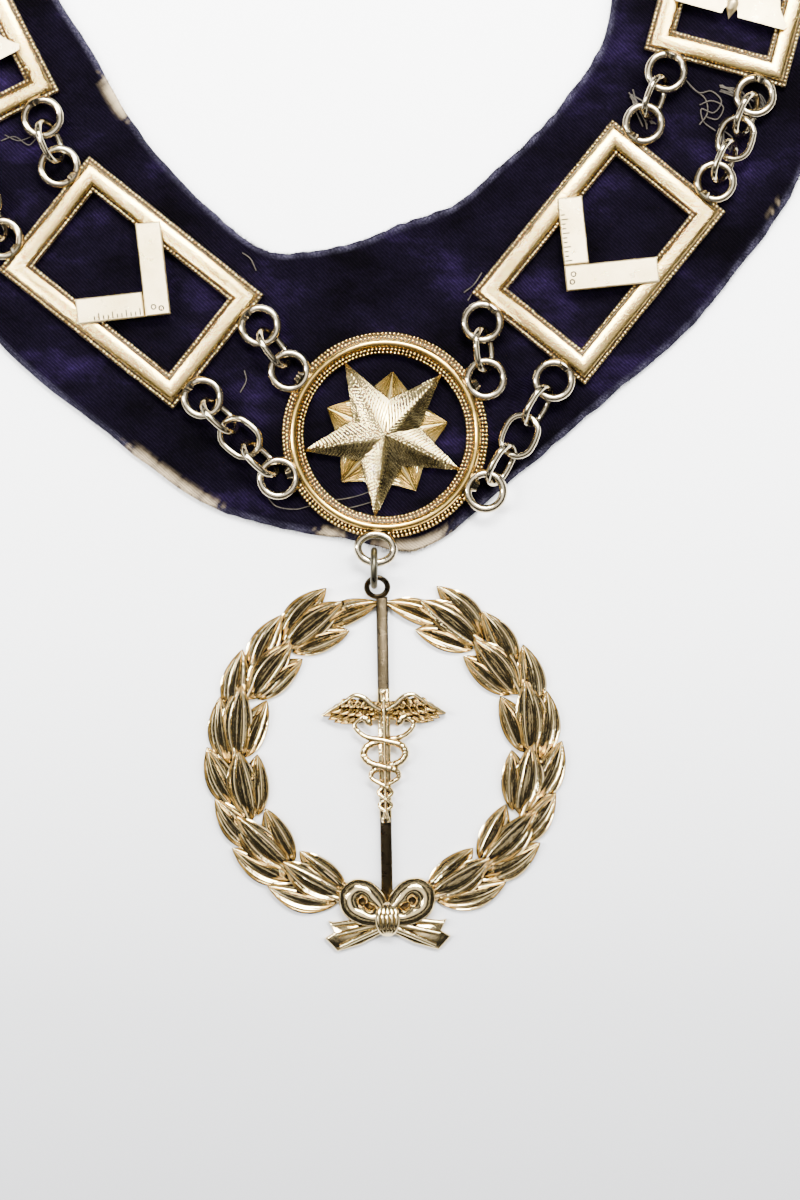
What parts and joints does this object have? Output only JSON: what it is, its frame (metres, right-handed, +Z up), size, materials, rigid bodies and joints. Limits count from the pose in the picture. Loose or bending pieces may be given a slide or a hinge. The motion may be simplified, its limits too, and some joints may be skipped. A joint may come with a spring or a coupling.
{
  "type": "chain of office",
  "caption": "Ceremonial chain of office laid flat: a velvet collar with linked openwork plates, a star medallion at the front and a wreath pendant with a winged staff.",
  "frame": {"origin": "under the middle of the whole object's box, on the surface that it lies on", "axes": "+Z up out of the front face, +Y from the pendant towards the back of the neck, +X to the right as seen from the front"},
  "size_m": [0.2886, 0.5208, 0.0112],
  "materials": {
    "velvet": "near-black violet velvet, short pile with a blue-violet sheen, worn pale at the edges",
    "plate_gold": "pale gold plating, polished rails with beaded rims, sandy emblems",
    "medallion_gold": "warm gold plating, beaded ring, antiqued fluted star",
    "link_nickel": "tarnished nickel wire with an olive cast",
    "pendant_gold": "mirror-polished rosy gold with dark brown recesses",
    "jump_ring": "dark tarnished wire"
  },
  "bodies": {
    "root": {"velvet_collar": "velvet", "medallion": "medallion_gold", "pendant_jump_ring": "jump_ring", "wreath_pendant": "pendant_gold", "inner_link_back": "link_nickel", "outer_link_back_1": "link_nickel", "outer_link_back_2": "link_nickel", "outer_link_back_3": "link_nickel", "outer_link_back_4": "link_nickel", "outer_link_back_5": "link_nickel", "plate_left_1": "plate_gold", "inner_link_left_1": "link_nickel", "outer_link_left_1_1": "link_nickel", "outer_link_left_1_2": "link_nickel", "outer_link_left_1_3": "link_nickel", "plate_left_2": "plate_gold", "inner_link_left_2": "link_nickel", "outer_link_left_2_1": "link_nickel", "outer_link_left_2_2": "link_nickel", "outer_link_left_2_3": "link_nickel", "plate_left_3": "plate_gold", "inner_link_left_3": "link_nickel", "outer_link_left_3_1": "link_nickel", "outer_link_left_3_2": "link_nickel", "outer_link_left_3_3": "link_nickel", "plate_left_4": "plate_gold", "inner_link_left_4": "link_nickel", "outer_link_left_4_1": "link_nickel", "outer_link_left_4_2": "link_nickel", "outer_link_left_4_3": "link_nickel", "plate_left_5": "plate_gold", "inner_link_left_5": "link_nickel", "outer_link_left_5_1": "link_nickel", "outer_link_left_5_2": "link_nickel", "outer_link_left_5_3": "link_nickel", "plate_right_1": "plate_gold", "inner_link_right_1": "link_nickel", "outer_link_right_1_1": "link_nickel", "outer_link_right_1_2": "link_nickel", "outer_link_right_1_3": "link_nickel", "plate_right_2": "plate_gold", "inner_link_right_2": "link_nickel", "outer_link_right_2_1": "link_nickel", "outer_link_right_2_2": "link_nickel", "outer_link_right_2_3": "link_nickel", "plate_right_3": "plate_gold", "inner_link_right_3": "link_nickel", "outer_link_right_3_1": "link_nickel", "outer_link_right_3_2": "link_nickel", "outer_link_right_3_3": "link_nickel", "plate_right_4": "plate_gold", "inner_link_right_4": "link_nickel", "outer_link_right_4_1": "link_nickel", "outer_link_right_4_2": "link_nickel", "outer_link_right_4_3": "link_nickel", "plate_right_5": "plate_gold", "inner_link_right_5": "link_nickel", "outer_link_right_5_1": "link_nickel", "outer_link_right_5_2": "link_nickel", "outer_link_right_5_3": "link_nickel"}
  },
  "joints": []
}
